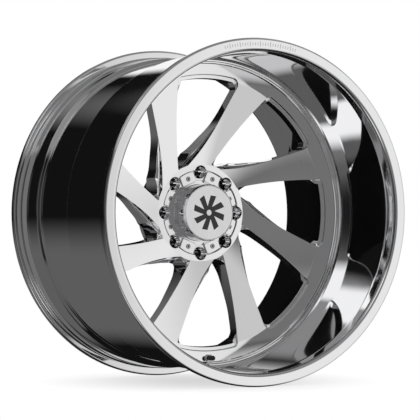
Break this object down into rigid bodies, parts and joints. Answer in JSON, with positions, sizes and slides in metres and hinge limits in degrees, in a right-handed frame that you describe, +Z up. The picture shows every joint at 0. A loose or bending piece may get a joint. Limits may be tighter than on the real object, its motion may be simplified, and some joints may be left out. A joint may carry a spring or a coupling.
{
  "type": "forged wheel",
  "caption": "Deep-dish forged wheel with raked blade spokes welded into a wide barrel, a screwed-on centre cap and a screw-in tyre valve.",
  "frame": {"origin": "on the axle line, midway between the two outer flange faces", "axes": "+Y along the axle line from the street face towards the vehicle, +Z up with the valve at the bottom, +X to the right as seen from the street"},
  "size_m": [0.7002, 0.4324, 0.7001],
  "materials": {
    "polished_barrel": "mirror polished, turned",
    "polished_centre": "mirror polished",
    "brushed_weld": "wire-brushed weld",
    "chrome_hardware": "chrome plated",
    "steel_screws": "stainless",
    "black_rubber": "matt",
    "adhesive_film": "matt",
    "satin_plate": "fine satin, anodised",
    "gloss_black": "gloss",
    "nickel_brass": "nickel plated",
    "bare_brass": "turned",
    "core_gasket": "matt",
    "spring_steel": "drawn wire",
    "black_plastic": "moulded, matt"
  },
  "bodies": {
    "wheel": {"rim_barrel": "polished_barrel", "wheel_centre": "polished_centre", "front_weld_bead": "polished_centre", "rear_weld_bead": "brushed_weld", "cap_retaining_ring": "chrome_hardware", "cap_screws": "steel_screws", "cap_body": "chrome_hardware", "cap_o_ring": "black_rubber", "cap_adhesive_film": "adhesive_film", "cap_face_plate": "satin_plate", "cap_emblem": "gloss_black", "valve_stem": "nickel_brass", "valve_o_ring": "black_rubber", "valve_core_body": "bare_brass", "valve_core_gasket": "core_gasket", "valve_core_spring": "spring_steel"},
    "valve_core_plunger": {"valve_core_pin": "bare_brass", "valve_core_seal": "black_rubber"},
    "dust_cap_lift": {"dust_cap_seal": "black_rubber"},
    "dust_cap_shell": {"dust_cap": "black_plastic"}
  },
  "joints": [
    {"name": "valve_core_press", "type": "slide", "parent": "wheel", "child": "valve_core_plunger", "axis": [0, 1, 0], "range_m": [0, 0.0012], "stiffness_N_per_m": 4000, "springref_m": -0.001, "deforming": ["valve_core_spring"]},
    {"name": "dust_cap_travel", "type": "slide", "parent": "wheel", "child": "dust_cap_lift", "axis": [0, -1, 0], "range_m": [0, 0.0119]},
    {"name": "dust_cap_unscrew", "type": "hinge", "parent": "dust_cap_lift", "child": "dust_cap_shell", "pos_m": [0, -0.0172, -0.302], "axis": [0, -1, 0], "range_deg": [0, 5400]}
  ],
  "couplings": [
    {"joint": "dust_cap_unscrew", "follows": "dust_cap_travel", "rad_per_m": 7915.9}
  ]
}
